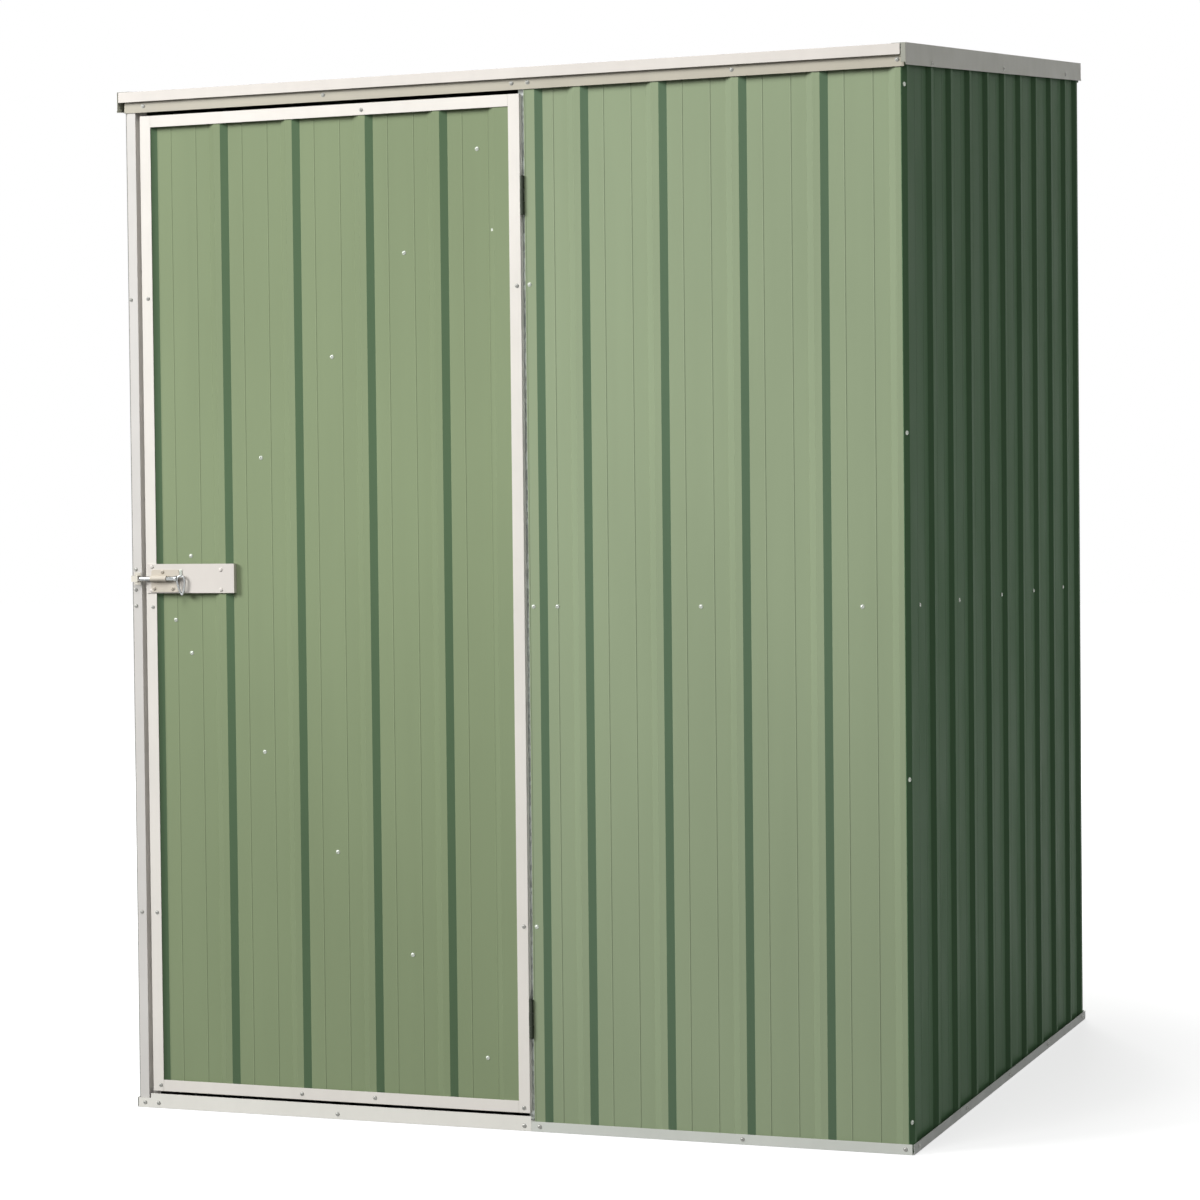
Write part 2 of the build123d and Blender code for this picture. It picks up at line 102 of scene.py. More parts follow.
def noise(tree, scale, detail=3.0, stretch=(1, 1, 1)):
    place = tree.nodes.new("ShaderNodeTexCoord")
    turn = tree.nodes.new("ShaderNodeMapping")
    turn.inputs["Scale"].default_value = stretch
    cloud = tree.nodes.new("ShaderNodeTexNoise")
    cloud.inputs["Scale"].default_value = scale
    cloud.inputs["Detail"].default_value = detail
    wire(tree, place.outputs["Object"], turn.inputs["Vector"])
    wire(tree, turn.outputs["Vector"], cloud.inputs["Vector"])
    return cloud.outputs["Fac"]


def spread(tree, value, low, high):
    """A noise between low and high, from its usual reach of 0.3 to 0.7."""
    ramp = tree.nodes.new("ShaderNodeMapRange")
    ramp.inputs["From Min"].default_value = 0.3
    ramp.inputs["From Max"].default_value = 0.7
    ramp.inputs["To Min"].default_value = low
    ramp.inputs["To Max"].default_value = high
    wire(tree, value, ramp.inputs["Value"])
    return ramp.outputs["Result"]


def tinted(tree, shader, colour, strength):
    """The colour, made lighter and darker by a strength that varies over the surface."""
    mix = tree.nodes.new("ShaderNodeMix")
    mix.data_type = "RGBA"
    mix.blend_type = "MULTIPLY"
    mix.inputs["Factor"].default_value = 1.0
    if isinstance(colour, tuple):
        mix.inputs["A"].default_value = (*colour, 1)
    else:
        wire(tree, colour, mix.inputs["A"])
    shade = tree.nodes.new("ShaderNodeCombineColor")
    for channel in shade.inputs[:3]:
        wire(tree, strength, channel)
    wire(tree, shade.outputs["Color"], mix.inputs["B"])
    wire(tree, mix.outputs["Result"], shader.inputs["Base Color"])


def bumped(tree, shader, layers, under=None):
    """Bumps laid over one another, each a height, a strength and a depth in metres."""
    before = under
    for height, strength, depth in layers:
        bump = tree.nodes.new("ShaderNodeBump")
        bump.inputs["Strength"].default_value = strength
        bump.inputs["Distance"].default_value = depth
        wire(tree, height, bump.inputs["Height"])
        if before is not None:
            wire(tree, before, bump.inputs["Normal"])
        before = bump.outputs["Normal"]
    wire(tree, before, shader.inputs["Normal"])


def swages(tree, axis, start):
    """Height of the fine lines rolled into each pan, counted from the foot of a rib."""
    place = tree.nodes.new("ShaderNodeTexCoord")
    split = tree.nodes.new("ShaderNodeSeparateXYZ")
    wire(tree, place.outputs["Object"], split.inputs["Vector"])
    along = calculated(tree, "SUBTRACT", split.outputs[axis], start)
    step = calculated(tree, "FLOORED_MODULO", along, RIB_PITCH)
    height = None
    for swage in PAN_SWAGES:
        away = calculated(tree, "ABSOLUTE", calculated(tree, "SUBTRACT", step, swage))
        line = calculated(tree, "SUBTRACT", 1.0, calculated(tree, "DIVIDE", away, SWAGE_WIDTH))
        line = calculated(tree, "MAXIMUM", line, 0.0)
        height = line if height is None else calculated(tree, "ADD", height, line)
    return height


def leaning(tree, axis, way):
    """1 on the faces that lean one way along the axis, and 0 on the flat ones."""
    place = tree.nodes.new("ShaderNodeTexCoord")
    split = tree.nodes.new("ShaderNodeSeparateXYZ")
    wire(tree, place.outputs["Normal"], split.inputs["Vector"])
    lean = calculated(tree, "MULTIPLY", split.outputs[axis], way)
    steep = tree.nodes.new("ShaderNodeMapRange")
    steep.inputs["From Min"].default_value = 0.15
    steep.inputs["From Max"].default_value = 0.40
    wire(tree, lean, steep.inputs["Value"])
    return steep.outputs["Result"]


def painted_flank_shade(tree, axis, colour, deep=FLANK_SHADE, way=1):
    """The colour, with painted shade on the faces that lean one way along the axis."""
    mix = tree.nodes.new("ShaderNodeMix")
    mix.data_type = "RGBA"
    mix.inputs["A"].default_value = (*colour, 1)
    mix.inputs["B"].default_value = (*[part * shade for part, shade in zip(colour, deep)], 1)
    wire(tree, leaning(tree, axis, way), mix.inputs["Factor"])
    return mix.outputs["Result"]


def painted_light_halfway(tree):
    """Painted light: a little paler half way up than at the head and the foot."""
    place = tree.nodes.new("ShaderNodeTexCoord")
    split = tree.nodes.new("ShaderNodeSeparateXYZ")
    wire(tree, place.outputs["Object"], split.inputs["Vector"])
    away = calculated(tree, "ABSOLUTE", calculated(tree, "SUBTRACT", split.outputs["Z"], PALE_HEIGHT))
    lift = tree.nodes.new("ShaderNodeMapRange")
    lift.interpolation_type = "SMOOTHSTEP"
    lift.inputs["From Min"].default_value = 0.0
    lift.inputs["From Max"].default_value = PALE_REACH
    lift.inputs["To Min"].default_value = PALE_LIFT
    lift.inputs["To Max"].default_value = 1.0
    wire(tree, away, lift.inputs["Value"])
    return lift.outputs["Result"]


def sheet_paint(name, colour, axis, start, specular=SHEET_SPECULAR, deep=FLANK_SHADE, crease=CREASE_SHADE):
    """Paint for ribbed sheets whose ribs follow one another along an axis from a start."""
    material, tree, shader = new_material(name, colour, SHEET_ROUGHNESS, specular=specular)
    lines = swages(tree, axis, start)
    clouds = noise(tree, scale=3.5, detail=4.0, stretch=(1, 1, 0.35))
    clouds = spread(tree, clouds, low=0.955, high=1.045)
    streaks = noise(tree, scale=30.0, detail=4.0, stretch=(1, 1, 0.04))
    streaks = spread(tree, streaks, low=0.985, high=1.015)
    shade = calculated(tree, "MULTIPLY", clouds, streaks)
    # Painted shade along the swage lines.
    crease = calculated(tree, "MULTIPLY_ADD", lines, -crease, 1.0)
    shade = calculated(tree, "MULTIPLY", shade, crease)
    # Painted shade on the flanks that lean the other way.
    left = calculated(tree, "MULTIPLY_ADD", leaning(tree, axis, -1), -LEFT_SHADE, 1.0)
    shade = calculated(tree, "MULTIPLY", shade, left)
    # Painted light half way up the sheet.
    shade = calculated(tree, "MULTIPLY", shade, painted_light_halfway(tree))
    # Painted shade on the flanks that lean one way.
    tinted(tree, shader, painted_flank_shade(tree, axis, colour, deep), shade)
    rough = noise(tree, scale=22.0, detail=3.0, stretch=(1, 1, 0.2))
    rough = spread(tree, rough, SHEET_ROUGHNESS - 0.04, SHEET_ROUGHNESS + 0.05)
    wire(tree, rough, shader.inputs["Roughness"])
    waves = noise(tree, scale=2.6, detail=1.0, stretch=(1, 1, 0.6))
    peel = noise(tree, scale=900.0, detail=2.0)
    bumped(tree, shader, [(waves, 0.3, 0.010), (lines, 1.0, 0.0006), (peel, 0.12, 0.0004)])
    return material


def finished(names, material):
    for name in names:
        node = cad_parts[name]
        node.data.materials.clear()
        node.data.materials.append(material)


front_paint = sheet_paint("sage_sheet_front", SHEET_GREEN, "X", PLAN_MIDDLE[0] + FRONT_RIBS_FROM)
finished(["front_wall"], front_paint)
back_paint = sheet_paint("sage_sheet_back", SHEET_GREEN, "X", PLAN_MIDDLE[0] + BACK_RIBS_FROM)
finished(["back_wall_right", "back_wall_left", "roof_sheet_right", "roof_sheet_left"], back_paint)
side_start = PLAN_MIDDLE[1] + SIDE_RIBS_FROM
# The right side's sheets take the darker green, as painted shade.
right_shaded_paint = sheet_paint("sage_sheet_right_shaded", RIGHT_SHADED_GREEN, "Y", side_start, RIGHT_SPECULAR, RIGHT_FLANK_SHADE)
finished(["right_wall_front", "right_wall_back"], right_shaded_paint)
left_paint = sheet_paint("sage_sheet_left", SHEET_GREEN, "Y", side_start)
finished(["left_wall_front", "left_wall_back"], left_paint)

# Door panel
# One ribbed sheet like the walls', held on all four edges by the door's folded frame. It has a
# chip in its paint near the top.
DOOR_GREEN = (0.236, 0.292, 0.168)
DOOR_RIBS_FROM = -0.0995
# Painted shade along the door panel's swage lines.
DOOR_CREASE_SHADE = 0.13
CHIP_AT = (-0.0087, 1.6232)
CHIP_SIZE = 0.0032
CHIP_PALE = (0.62, 0.66, 0.58)

door_start = PLAN_MIDDLE[0] + DOOR_RIBS_FROM
door_paint = sheet_paint("sage_sheet_door", DOOR_GREEN, "X", door_start, crease=DOOR_CREASE_SHADE)
finished(["door_panel"], door_paint)


def chipped(material, place, size):
    """A pale chip in the paint, at a distance along the front and a height."""
    tree = material.node_tree
    shader = tree.nodes["Principled BSDF"]
    painted = shader.inputs["Base Color"].links[0].from_socket
    where = tree.nodes.new("ShaderNodeTexCoord")
    split = tree.nodes.new("ShaderNodeSeparateXYZ")
    wire(tree, where.outputs["Object"], split.inputs["Vector"])
    across = calculated(tree, "SUBTRACT", split.outputs["X"], place[0])
    above = calculated(tree, "SUBTRACT", split.outputs["Z"], place[1])
    square = calculated(tree, "MULTIPLY_ADD", above, above, calculated(tree, "POWER", across, 2.0))
    reach = spread(tree, noise(tree, scale=300.0), size * 0.5, size * 1.2)
    bare = calculated(tree, "LESS_THAN", calculated(tree, "SQRT", square), reach)
    mix = tree.nodes.new("ShaderNodeMix")
    mix.data_type = "RGBA"
    mix.inputs["B"].default_value = (*CHIP_PALE, 1)
    wire(tree, bare, mix.inputs["Factor"])
    wire(tree, painted, mix.inputs["A"])
    wire(tree, mix.outputs["Result"], shader.inputs["Base Color"])


chipped(door_paint, CHIP_AT, CHIP_SIZE)

# Folded trim
# Cream colour-coated steel: the cappings, barges, header, base, sill, post and the four lengths of
# door frame. They differ a little in tone, and their folds are softly rounded.
# The header's darker cream, the barges' front ends and the post's left faces carry painted shade.
CREAM = (0.775, 0.742, 0.688)
CAP_CREAM = (0.700, 0.660, 0.612)
# Painted shade: the header under the capping is a darker cream.
HEADER_SHADE_CREAM = (0.475, 0.445, 0.365)
SILL_CREAM = (0.800, 0.785, 0.725)
BASE_CREAM = (0.630, 0.650, 0.600)
POST_CREAM = (0.650, 0.630, 0.600)
# Painted shade on the post's faces that lean left.
POST_SHADE = (0.30, 0.30, 0.29)
BARGE_CREAM = (0.735, 0.732, 0.630)
# Painted shade on the barges' front ends.
BARGE_END_SHADE = (0.46, 0.47, 0.46)
TRIM_ROUGHNESS = 0.42
FOLD_RADIUS = 0.0009


def trim_paint(name, colour, folds=None):
    """Trim paint, with painted shade on the folds that face one way: an axis, the way and the shade."""
    material, tree, shader = new_material(name, colour, TRIM_ROUGHNESS)
    clouds = spread(tree, noise(tree, scale=5.0, detail=5.0), low=0.965, high=1.03)
    grime = noise(tree, scale=38.0, detail=6.0, stretch=(1, 1, 0.5))
    grime = spread(tree, grime, low=0.975, high=1.012)
    base = colour
    if folds:
        axis, way, shade = folds
        base = painted_flank_shade(tree, axis, colour, shade, way)
    tinted(tree, shader, base, calculated(tree, "MULTIPLY", clouds, grime))
    rough = noise(tree, scale=30.0)
    rough = spread(tree, rough, TRIM_ROUGHNESS - 0.05, TRIM_ROUGHNESS + 0.06)
    wire(tree, rough, shader.inputs["Roughness"])
    edge = tree.nodes.new("ShaderNodeBevel")
    edge.samples = 4
    edge.inputs["Radius"].default_value = FOLD_RADIUS
    waves = noise(tree, scale=4.0, detail=1.0)
    peel = noise(tree, scale=900.0, detail=2.0)
    bumped(tree, shader, [(waves, 0.25, 0.004), (peel, 0.12, 0.0003)], edge.outputs["Normal"])
    return material


cap_cream = trim_paint("cap_cream", CAP_CREAM)
finished(["front_capping", "back_capping"], cap_cream)
barge_cream = trim_paint("barge_cream", BARGE_CREAM, ("Y", -1, BARGE_END_SHADE))
finished(["right_barge", "left_barge"], barge_cream)
cream = trim_paint("cream_trim", CREAM)
finished(["door_stile_latch", "door_stile_hinge", "door_rail_top", "door_rail_bottom"], cream)
# The headers take the darker cream, as painted shade under the cappings.
finished(["header", "back_header"], trim_paint("header_shade_cream", HEADER_SHADE_CREAM))
base_channels = [f"base_channel_{side}" for side in ("front", "right", "left", "back")]
finished(base_channels, trim_paint("base_cream", BASE_CREAM))
finished(["door_sill"], trim_paint("sill_cream", SILL_CREAM))
finished(["latch_post"], trim_paint("post_cream", POST_CREAM, ("X", -1, POST_SHADE)))

# Galvanised rails
# Plain zinc-coated folds inside the shed, with the faint spangle of hot-dip galvanising.
ZINC = (0.46, 0.47, 0.47)
POST_ZINC = (0.80, 0.84, 0.81)
SPANGLE_SCALE = 140.0


def galvanised(name, colour):
    material, tree, shader = new_material(name, colour, 0.42, metallic=1.0, specular=0.5)
    cells = tree.nodes.new("ShaderNodeTexVoronoi")
    cells.inputs["Scale"].default_value = SPANGLE_SCALE
    place = tree.nodes.new("ShaderNodeTexCoord")
    wire(tree, place.outputs["Object"], cells.inputs["Vector"])
    grey = tree.nodes.new("ShaderNodeSeparateColor")
    wire(tree, cells.outputs["Color"], grey.inputs["Color"])
    flake = grey.outputs["Red"]
    tinted(tree, shader, colour, spread(tree, flake, low=0.9, high=1.1))
    wire(tree, spread(tree, flake, low=0.34, high=0.48), shader.inputs["Roughness"])
    bumped(tree, shader, [(noise(tree, scale=60.0), 0.15, 0.001)])
    return material


zinc = galvanised("galvanised_rail", ZINC)
finished(["top_rail_right", "top_rail_left", "mid_rail_front", "mid_rail_right"], zinc)
finished(["mid_rail_back", "mid_rail_left", "door_brace_upper", "door_brace_lower"], zinc)
finished(["hinge_post"], galvanised("galvanised_post", POST_ZINC))

# Screws
# Short self-tapping screws with a flanged pan head and a cross recess, in plain zinc. They hold
# the sheets to the channels and rails, and the door's frame to its panel and braces.
FLANGE_RADIUS = 0.0039
FLANGE_THICKNESS = 0.0008
HEAD_INSET = 0.0007
HEAD_RISE = 0.0017
RECESS_LENGTH = 0.0036
RECESS_WIDTH = 0.0008
RECESS_DEPTH = 0.0010
SCREW_TURN = 1.1
SMOOTH_ANGLE = math.radians(35)
SCREW_GREY = (0.44, 0.47, 0.42)
DULL_GREY = (0.31, 0.31, 0.29)


def plated(name, colour, roughness):
    """Plated metal with fine scratches along X."""
    material, tree, shader = new_material(name, colour, roughness, metallic=1.0, specular=0.5)
    clouds = noise(tree, scale=60.0, detail=5.0)
    tinted(tree, shader, colour, spread(tree, clouds, low=0.88, high=1.08))
    scratches = noise(tree, scale=260.0, stretch=(0.15, 1, 1))
    rough = spread(tree, scratches, roughness - 0.08, roughness + 0.1)
    wire(tree, rough, shader.inputs["Roughness"])
    bumped(tree, shader, [(scratches, 0.15, 0.0003)])
    return material


def faces_that(test):
    """Selects the faces of the mesh in edit mode whose normal passes the test."""
    bpy.ops.object.mode_set(mode="OBJECT")
    mesh = bpy.context.object.data
    for part in (mesh.vertices, mesh.edges):
        part.foreach_set("select", [False] * len(part))
    for face in mesh.polygons:
        face.select = test(face.normal)
    bpy.ops.object.mode_set(mode="EDIT")


def edit_mode():
    bpy.ops.object.mode_set(mode="EDIT")
    bpy.ops.mesh.select_mode(type="FACE")


def object_mode():
    bpy.ops.object.mode_set(mode="OBJECT")


def fresh():
    bpy.ops.object.select_all(action="DESELECT")


def at_origin(piece):
    """Applies the piece's place and turn to its mesh."""
    fresh()
    piece.select_set(True)
    bpy.context.view_layer.objects.active = piece
    bpy.ops.object.transform_apply(location=True, rotation=True, scale=True)


def cut_away(piece, cutter):
    trim = piece.modifiers.new("recess", "BOOLEAN")
    trim.operation = "DIFFERENCE"
    trim.object = cutter
    bpy.context.view_layer.objects.active = piece
    bpy.ops.object.modifier_apply(modifier=trim.name)
    bpy.data.objects.remove(cutter)


def head_pattern(radius, rise, crossed):
    """A flanged head that points up +Z from z = 0, plain or with a cross recess.

    Above the flange the head rises in three steps, each a share of the rise and a narrowing.
    """
    fresh()
    bpy.ops.mesh.primitive_cylinder_add(
        vertices=18, radius=radius, depth=FLANGE_THICKNESS, location=(0, 0, FLANGE_THICKNESS / 2)
    )
    head = bpy.context.object
    edit_mode()
    faces_that(lambda normal: normal.z > 0.9)
    bpy.ops.mesh.inset(thickness=HEAD_INSET)
    for lift, narrower in ((0.45, 0.97), (0.35, 0.82), (0.2, 0.6)):
        bpy.ops.mesh.extrude_region_move(TRANSFORM_OT_translate={"value": (0, 0, rise * lift)})
        bpy.ops.transform.resize(value=(narrower, narrower, 1), center_override=(0, 0, 0))
    object_mode()
    if crossed:
        top = FLANGE_THICKNESS + rise
        for across in ((RECESS_LENGTH, RECESS_WIDTH), (RECESS_WIDTH, RECESS_LENGTH)):
            fresh()
            bpy.ops.mesh.primitive_cube_add(size=1, location=(0, 0, top))
            slot = bpy.context.object
            slot.scale = (*across, 2 * RECESS_DEPTH)
            at_origin(slot)
            cut_away(head, slot)
    return head


def row_of(name, pattern, body, material, places, facing):
    """Copies of a pattern at each place, turned to face outwards, as one piece."""
    turn = Vector((0, 0, 1)).rotation_difference(Vector(facing)).to_matrix().to_4x4()
    fresh()
    copies = []
    for count, place in enumerate(places):
        copy = pattern.copy()
        copy.data = pattern.data.copy()
        bpy.context.collection.objects.link(copy)
        spin = Matrix.Rotation(SCREW_TURN * count, 4, "Z")
        copy.data.transform(Matrix.Translation(place) @ turn @ spin)
        copy.select_set(True)
        copies.append(copy)
    bpy.context.view_layer.objects.active = copies[0]
    if len(copies) > 1:
        bpy.ops.object.join()
    piece = bpy.context.object
    piece.name = name
    bpy.ops.object.shade_smooth_by_angle(angle=SMOOTH_ANGLE)
    piece.data.materials.clear()
    piece.data.materials.append(material)
    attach(piece, body)
    return piece


# How far each surface stands out of the pans of the wall sheets, in mm.
ON_PAN = 0
ON_RIB = 7
ON_CHANNEL = 9
ON_POST = 7.8
ON_DOOR_PAN = 0.5
ON_DOOR_FRAME = 9
ON_LOCK_PLATE = 10.5
ON_BOLT_PLATE = 11.7
FRONT_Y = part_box("header")[0][1] + ON_CHANNEL / 1000
BACK_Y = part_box("back_header")[1][1] - ON_CHANNEL / 1000
RIGHT_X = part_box("base_channel_right")[1][0] - ON_CHANNEL / 1000
LEFT_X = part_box("base_channel_left")[0][0] + ON_CHANNEL / 1000


def on_front(depth, spots):
    """Places on the front, each by its distance along it from the middle and its height, in mm."""
    return [Vector((PLAN_MIDDLE[0] + x / 1000, FRONT_Y - depth / 1000, z / 1000)) for x, z in spots]


def on_back(depth, spots):
    return [Vector((PLAN_MIDDLE[0] + x / 1000, BACK_Y + depth / 1000, z / 1000)) for x, z in spots]


def on_side(wall_x, depth, spots):
    return [Vector((wall_x + depth / 1000, PLAN_MIDDLE[1] + y / 1000, z / 1000)) for y, z in spots]


TO_FRONT = (0, -1, 0)
TO_BACK = (0, 1, 0)
screw_zinc = plated("screw_zinc", SCREW_GREY, 0.32)
dull_zinc = plated("dull_zinc", DULL_GREY, 0.45)
screw = head_pattern(FLANGE_RADIUS, HEAD_RISE, True)


def screws(name, body, places, facing, finish=dull_zinc):
    return row_of(name, screw, body, finish, places, facing)


BASE_HEIGHT = 9
HEADER_HEIGHT = 1882
BACK_HEADER_HEIGHT = 2046
RAIL_HEIGHT = 946
HEADER_STEPS = (-711.9, -341.4, 29.4, 59.9, 441.9, 738.5)
BASE_STEPS = (-737.5, -709.1, -338.3, 31.9, 61.5, 444.1, 738.5)
SIDE_STEPS = (-718, -359, 0, 359, 718)
FRONT_RAIL_STEPS = (103.3, 373.6, 667.3)
BACK_RAIL_STEPS = (-666, -372, -78, 216, 510)
SIDE_RAIL_STEPS = (-650, -356, -4, 290, 584)
BARGE_SPOTS = ((-572.9, 1897.6), (-0.2, 1964.0), (595.2, 2030.2))
POST_SPOTS = ((-743.7, 1521.8), (-741.8, 1015.5), (-742.1, 977.5), (-742.1, 947.1), (-739.3, 369.5))
JAMB_SPOTS = ((60.1, RAIL_HEIGHT), (59.2, 1522.1), (59.6, 369.8))
BARGE_SKIN = 0.0008
CORNER_STRIP = (0.7525, -0.7420)
CORNER_HEIGHTS = (1.8405, 1.2443, 0.6478, 0.0547)
CORNER_FACING = (0.88, -0.474, 0)


def at_height(height, steps):
    return [(step, height) for step in steps]


header_line = on_front(ON_CHANNEL, at_height(HEADER_HEIGHT, HEADER_STEPS))
screws("header_screws", "shell", header_line, TO_FRONT)
base_line = on_front(ON_CHANNEL, at_height(BASE_HEIGHT, BASE_STEPS))
screws("base_screws", "shell", base_line, TO_FRONT)
screws("post_screws", "shell", on_front(ON_POST, POST_SPOTS), TO_FRONT)
front_rail_line = on_front(ON_PAN, at_height(RAIL_HEIGHT, FRONT_RAIL_STEPS))
screws("front_rail_screws", "shell", front_rail_line, TO_FRONT, screw_zinc)
screws("jamb_screws", "shell", on_front(ON_RIB, JAMB_SPOTS), TO_FRONT, screw_zinc)
back_spots = [(step, height) for step in SIDE_STEPS for height in (BASE_HEIGHT, BACK_HEADER_HEIGHT)]
screws("back_screws", "shell", on_back(ON_CHANNEL, back_spots), TO_BACK)
back_rail_line = on_back(ON_PAN, at_height(RAIL_HEIGHT, BACK_RAIL_STEPS))
screws("back_rail_screws", "shell", back_rail_line, TO_BACK, screw_zinc)
for side, wall_x, way in (("right", RIGHT_X, 1), ("left", LEFT_X, -1)):
    facing = (way, 0, 0)
    foot_line = on_side(wall_x, way * ON_CHANNEL, at_height(BASE_HEIGHT, SIDE_STEPS))
    screws(f"{side}_base_screws", "shell", foot_line, facing)
    rail_line = on_side(wall_x, ON_PAN, at_height(RAIL_HEIGHT, SIDE_RAIL_STEPS))
    screws(f"{side}_rail_screws", "shell", rail_line, facing, screw_zinc)
    barge_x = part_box(f"{side}_barge")[way > 0][0] - way * BARGE_SKIN
    screws(f"{side}_barge_screws", "shell", on_side(barge_x, ON_PAN, BARGE_SPOTS), facing)
corner_line = [Vector((*CORNER_STRIP, height)) for height in CORNER_HEIGHTS]
screws("corner_screws", "shell", corner_line, CORNER_FACING, screw_zinc)

BRACE_SPOTS = (
    (-42.0, 1769.8), (-187.5, 1588.8), (-334.0, 1404.1), (-481.2, 1221.3), (-629.2, 1040.5),
    (-629.9, 858.9), (-481.1, 675.6), (-334.7, 493.4), (-186.6, 308.7), (-40.9, 126.9),
    (-662.5, 920.7),
)
FRAME_SPOTS = (
    (-265.7, 1850.9), (-410.3, 42.6), (-262.4, 43.3), (-703.7, 43.6), (31.6, 41.4),
    (35.8, 1520.5), (-706.1, 945.3), (-707.2, 1522.4), (-706.5, 369.6), (35.2, 369.6),
)
screws("brace_screws", "door", on_front(ON_DOOR_PAN, BRACE_SPOTS), TO_FRONT, screw_zinc)
screws("frame_screws", "door", on_front(ON_DOOR_FRAME, FRAME_SPOTS), TO_FRONT)

# Hinges
# Two butt hinges in the gap beside the door, with rolled knuckles on a pin. Their near-black steel is
# painted shade for the dark gap.
HINGE_GAP_SHADE = (0.045, 0.052, 0.040)
hinge_gap_shade = plated("hinge_gap_shade_steel", HINGE_GAP_SHADE, 0.50)
finished(["hinge_upper_fixed", "hinge_lower_fixed", "hinge_upper_leaf", "hinge_lower_leaf"], hinge_gap_shade)

# Lock plate
# A cream plate across the stile that stiffens the sheet behind the bolt, with a rivet near each
# of its corners.
RIVET_RADIUS = 0.0040
RIVET_RISE = 0.0009
LOCK_RIVETS = ((-562.5, 1014.5), (-562.5, 977.0), (-706.5, 1020.5), (-706.5, 976.0))

finished(["lock_plate"], cap_cream)
rivet = head_pattern(RIVET_RADIUS, RIVET_RISE, False)
rivet_places = on_front(ON_LOCK_PLATE, LOCK_RIVETS)
row_of("lock_rivets", rivet, "door", cap_cream, rivet_places, TO_FRONT)

# Pad bolt
# A base plate with a rolled barrel, screwed to the lock plate and painted over with it, and a
# small stop for the ring beside its end.
BOLT_CREAM = (0.620, 0.565, 0.480)
STOP_SIZE = (0.0053, 0.0014, 0.0102)
STOP_AT = (-645.4, 1010.2)
STOP_BEVEL = 0.0004
PAD_SPOTS = ((-684.0, 1010.6), (-700.6, 979.6), (-662.0, 979.5))
bolt_cream = trim_paint("bolt_cream", BOLT_CREAM)
finished(["bolt_plate"], bolt_cream)
screws("pad_screws", "door", on_front(ON_BOLT_PLATE, PAD_SPOTS), TO_FRONT, bolt_cream)

fresh()
stop_foot = on_front(ON_LOCK_PLATE, [STOP_AT])[0]
bpy.ops.mesh.primitive_cube_add(size=1, location=stop_foot - Vector((0, STOP_SIZE[1] / 2, 0)))
stop = bpy.context.object
stop.name = "ring_stop"
stop.scale = STOP_SIZE
at_origin(stop)
edit_mode()
bpy.ops.mesh.select_all(action="SELECT")
bpy.ops.mesh.bevel(offset=STOP_BEVEL, segments=2, affect="EDGES")
object_mode()
stop.data.materials.append(screw_zinc)
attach(stop, "door")

# Keeper
# A strap of zinc-plated steel, bent over the end of the bolt and fixed to the post.
KEEPER_GREY = (0.44, 0.42, 0.37)
finished(["bolt_keeper"], plated("keeper_zinc", KEEPER_GREY, 0.40))

# Bolt rod and pull ring
# A plain round rod with a chamfered tip and a collar, and a pear-shaped ring of bent wire that
# hangs from it. Both take the place of the plainer rod and ring of the frame.
PLATED = (0.36, 0.37, 0.37)
ROD_LOW, ROD_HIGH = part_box("bolt_rod")
ROD_RADIUS = 0.0040
ROD_HEIGHT = 0.9987
ROD_CHAMFER = 0.0008
WIRE_RADIUS = 0.0021
RING_FROM_MIDDLE = -0.6431
RING_HALF = 0.0100 - WIRE_RADIUS
TOE_HALF = 0.0050 - WIRE_RADIUS
RING_LEAN = 0.0025
RING_DROP = 0.024
RING_SINK = 0.003
COLLAR_RADIUS = 0.0054
COLLAR_LENGTH = 0.0045

bright = plated("bright_zinc", PLATED, 0.24)
rod_y = (ROD_LOW[1] + ROD_HIGH[1]) / 2
ring_x = PLAN_MIDDLE[0] + RING_FROM_MIDDLE
ring_z = ROD_HEIGHT - RING_SINK


def round_bar(start, length, radius, chamfer):
    """A round bar along X with both its ends chamfered."""
    fresh()
    bpy.ops.mesh.primitive_cylinder_add(
        vertices=32,
        radius=radius,
        depth=length,
        location=(start + length / 2, rod_y, ROD_HEIGHT),
        rotation=(0, math.pi / 2, 0),
    )
    bar = bpy.context.object
    at_origin(bar)
    edit_mode()
    faces_that(lambda normal: abs(normal.x) > 0.9)
    bpy.ops.mesh.bevel(offset=chamfer, segments=2, affect="EDGES")
    object_mode()
    return bar


def wire_ring():
    """A ring of wire drawn out to a narrow toe, in the upright plane of the door."""
    fresh()
    bpy.ops.curve.primitive_bezier_circle_add(radius=RING_HALF)
    ring = bpy.context.object
    ring.data.dimensions = "3D"
    ring.data.resolution_u = 14
    ring.data.bevel_depth = WIRE_RADIUS
    ring.data.bevel_resolution = 5
    toe = Vector((RING_LEAN, -RING_DROP, 0))
    for point in ring.data.splines[0].bezier_points:
        point.handle_left_type = "FREE"
        point.handle_right_type = "FREE"
        spots = [point.co.copy(), point.handle_left.copy(), point.handle_right.copy()]
        if point.co.y < -RING_HALF / 2:
            shrink = TOE_HALF / RING_HALF
            point.co, point.handle_left, point.handle_right = [spot * shrink + toe for spot in spots]
        elif abs(point.co.x) > RING_HALF / 2:
            lower = spots[1] if spots[1].y < spots[2].y else spots[2]
            drawn = lower + Vector((RING_LEAN / 3, -RING_DROP / 3, 0))
            if lower is spots[1]:
                point.handle_left = drawn
            else:
                point.handle_right = drawn
    ring.rotation_euler = (math.pi / 2, 0, 0)
    ring.location = (ring_x, rod_y, ring_z)
    bpy.ops.object.convert(target="MESH")
    at_origin(bpy.context.object)
    return bpy.context.object


